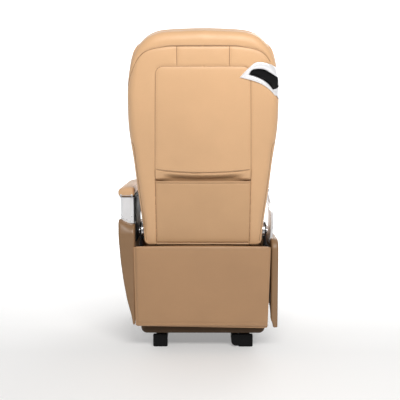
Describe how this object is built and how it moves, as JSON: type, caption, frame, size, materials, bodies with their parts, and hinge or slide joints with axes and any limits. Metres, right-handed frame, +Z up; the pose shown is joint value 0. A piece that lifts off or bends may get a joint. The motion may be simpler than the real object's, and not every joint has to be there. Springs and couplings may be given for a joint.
{
  "type": "pedicure spa chair",
  "caption": "Upholstered powered spa lounge chair: reclining padded back, lifting leg rest, a wide console armrest and a slim flip-up armrest, on floor slide rails.",
  "frame": {"origin": "on the floor, at the centre of the four floor bolts in the rails", "axes": "+Z up, the sitter faces -Y, +X is the sitter's left"},
  "size_m": [0.6035, 0.8294, 1.2029],
  "materials": {
    "leather": "soft semi-matt hide with fine grain and tone-on-tone stitching",
    "tan_shell": "soft-touch moulded covers in a deeper tan",
    "silver_paint": "satin silver paint",
    "black_plastic": "fine-textured black moulding",
    "switch_grey": "smooth grey keys",
    "dark_steel": "dark phosphated steel",
    "bright_steel": "bright zinc plated steel",
    "motor_casing": "cast casing",
    "plywood": "raw birch ply"
  },
  "bodies": {
    "base": {"floor_rail_left": "dark_steel", "floor_rail_right": "dark_steel", "rear_foot_left": "black_plastic", "rear_foot_right": "black_plastic", "front_feet": "black_plastic", "slide_screws": "bright_steel"},
    "seat": {"rail_sliders": "dark_steel", "riser_legs": "dark_steel", "seat_frame": "dark_steel", "seat_springs": "bright_steel", "cushion_deck": "plywood", "base_skirt": "tan_shell", "rear_panel": "leather", "panel_brackets": "dark_steel", "front_apron": "tan_shell", "seat_cushion": "leather", "seat_bolster_left": "leather", "seat_bolster_right": "leather", "side_shield_left": "tan_shell", "side_shield_right": "tan_shell", "shield_screw_caps": "tan_shell", "switch_pod": "black_plastic", "recliner_bracket_left": "dark_steel", "recliner_bracket_right": "dark_steel", "recliner_gear_left": "bright_steel", "recliner_gear_right": "bright_steel", "recline_motor": "motor_casing", "arm_left_collar": "silver_paint", "arm_left_inner_trim": "black_plastic", "arm_left_hinge_eyes": "bright_steel", "arm_right_post": "silver_paint", "arm_right_foot": "dark_steel", "leg_hangers": "dark_steel", "leg_motor": "motor_casing"},
    "backrest": {"back_shell": "leather", "back_pocket": "leather", "back_frame": "dark_steel", "lumbar_wires": "bright_steel", "lumbar_cushion": "leather", "shoulder_cushion": "leather", "head_cushion": "leather", "back_bolster_left": "leather", "back_bolster_right": "leather", "shoulder_bezel": "silver_paint", "shoulder_insert": "black_plastic", "recline_shaft": "bright_steel"},
    "leg_rest": {"leg_pad": "leather", "leg_board": "plywood", "leg_shaft": "bright_steel", "leg_arms": "dark_steel"},
    "arm_left": {"arm_left_pad": "leather", "arm_left_lid_plate": "black_plastic", "arm_left_hinge_pin": "bright_steel"},
    "arm_right": {"arm_right_pad": "leather", "arm_right_core": "bright_steel", "arm_right_pin": "bright_steel"},
    "key_slide": {"switch_slide": "switch_grey"},
    "key_recline": {"switch_recline": "switch_grey"},
    "key_leg_rest": {"switch_leg_rest": "switch_grey"}
  },
  "joints": [
    {"name": "seat_slide", "type": "slide", "parent": "base", "child": "seat", "axis": [0, -1, 0], "range_m": [-0.07, 0.07]},
    {"name": "recline", "type": "hinge", "parent": "seat", "child": "backrest", "pos_m": [0, 0.19, 0.45], "axis": [-1, 0, 0], "range_deg": [0, 40]},
    {"name": "leg_rest_lift", "type": "hinge", "parent": "seat", "child": "leg_rest", "pos_m": [0, -0.318, 0.296], "axis": [-1, 0, 0], "range_deg": [0, 75]},
    {"name": "left_lid_hinge", "type": "hinge", "parent": "seat", "child": "arm_left", "pos_m": [0.2875, 0.257, 0.594], "axis": [-1, 0, 0], "range_deg": [0, 50]},
    {"name": "right_arm_hinge", "type": "hinge", "parent": "seat", "child": "arm_right", "pos_m": [-0.221, 0.104, 0.602], "axis": [-1, 0, 0], "range_deg": [0, 80]},
    {"name": "slide_key", "type": "slide", "parent": "seat", "child": "key_slide", "axis": [-1, 0, 0], "range_m": [0, 0.002], "stiffness_N_per_m": 300},
    {"name": "recline_key", "type": "slide", "parent": "seat", "child": "key_recline", "axis": [-1, 0, 0], "range_m": [0, 0.002], "stiffness_N_per_m": 300},
    {"name": "leg_rest_key", "type": "slide", "parent": "seat", "child": "key_leg_rest", "axis": [-1, 0, 0], "range_m": [0, 0.002], "stiffness_N_per_m": 300}
  ]
}
